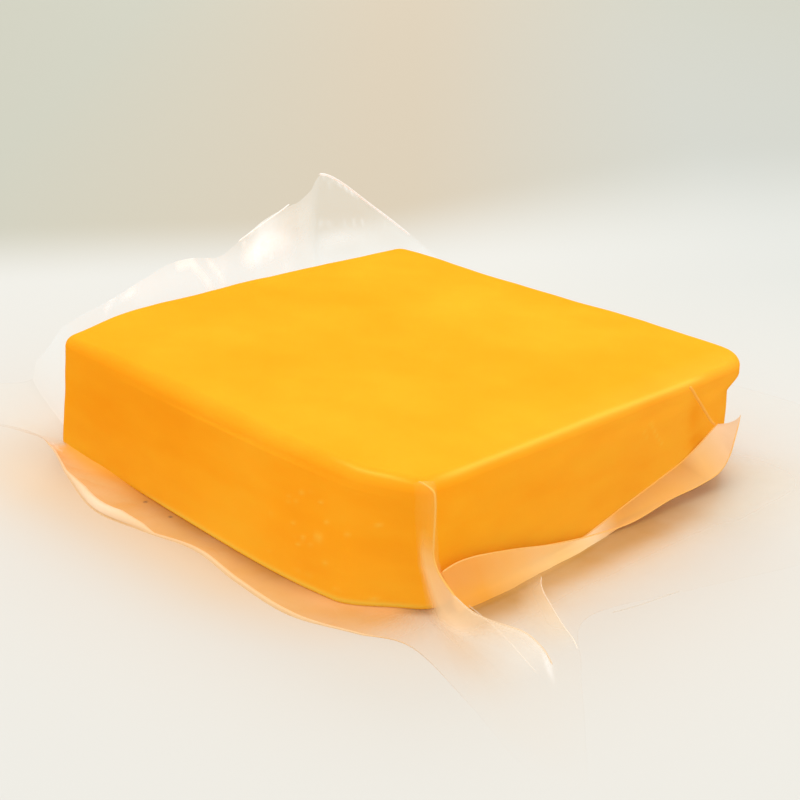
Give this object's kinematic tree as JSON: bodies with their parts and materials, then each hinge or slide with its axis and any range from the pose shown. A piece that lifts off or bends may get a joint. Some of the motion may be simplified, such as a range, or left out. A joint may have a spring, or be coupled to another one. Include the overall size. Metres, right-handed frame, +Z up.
{
  "type": "gouda block",
  "caption": "Square slab of orange gouda, vacuum packed in clear film with a skirt, long corner ears and a standing crumpled mouth.",
  "frame": {"origin": "on the floor under the middle of the cheese slab, at the flat underside of the film", "axes": "+Z up, the slab's thickness; +X runs from the left corner to the front corner of the slab, +Y from the front corner to the right corner"},
  "size_m": [0.257, 0.1995, 0.0511],
  "materials": {
    "gouda": "firm orange-yellow cheese, slightly mottled, with a soft satin sheen",
    "clear_film": "thin clear plastic film, glossy, creased, with a faint warm tint near the cheese"
  },
  "bodies": {
    "root": {"gouda_block": "gouda", "vacuum_pouch": "clear_film"}
  },
  "joints": []
}
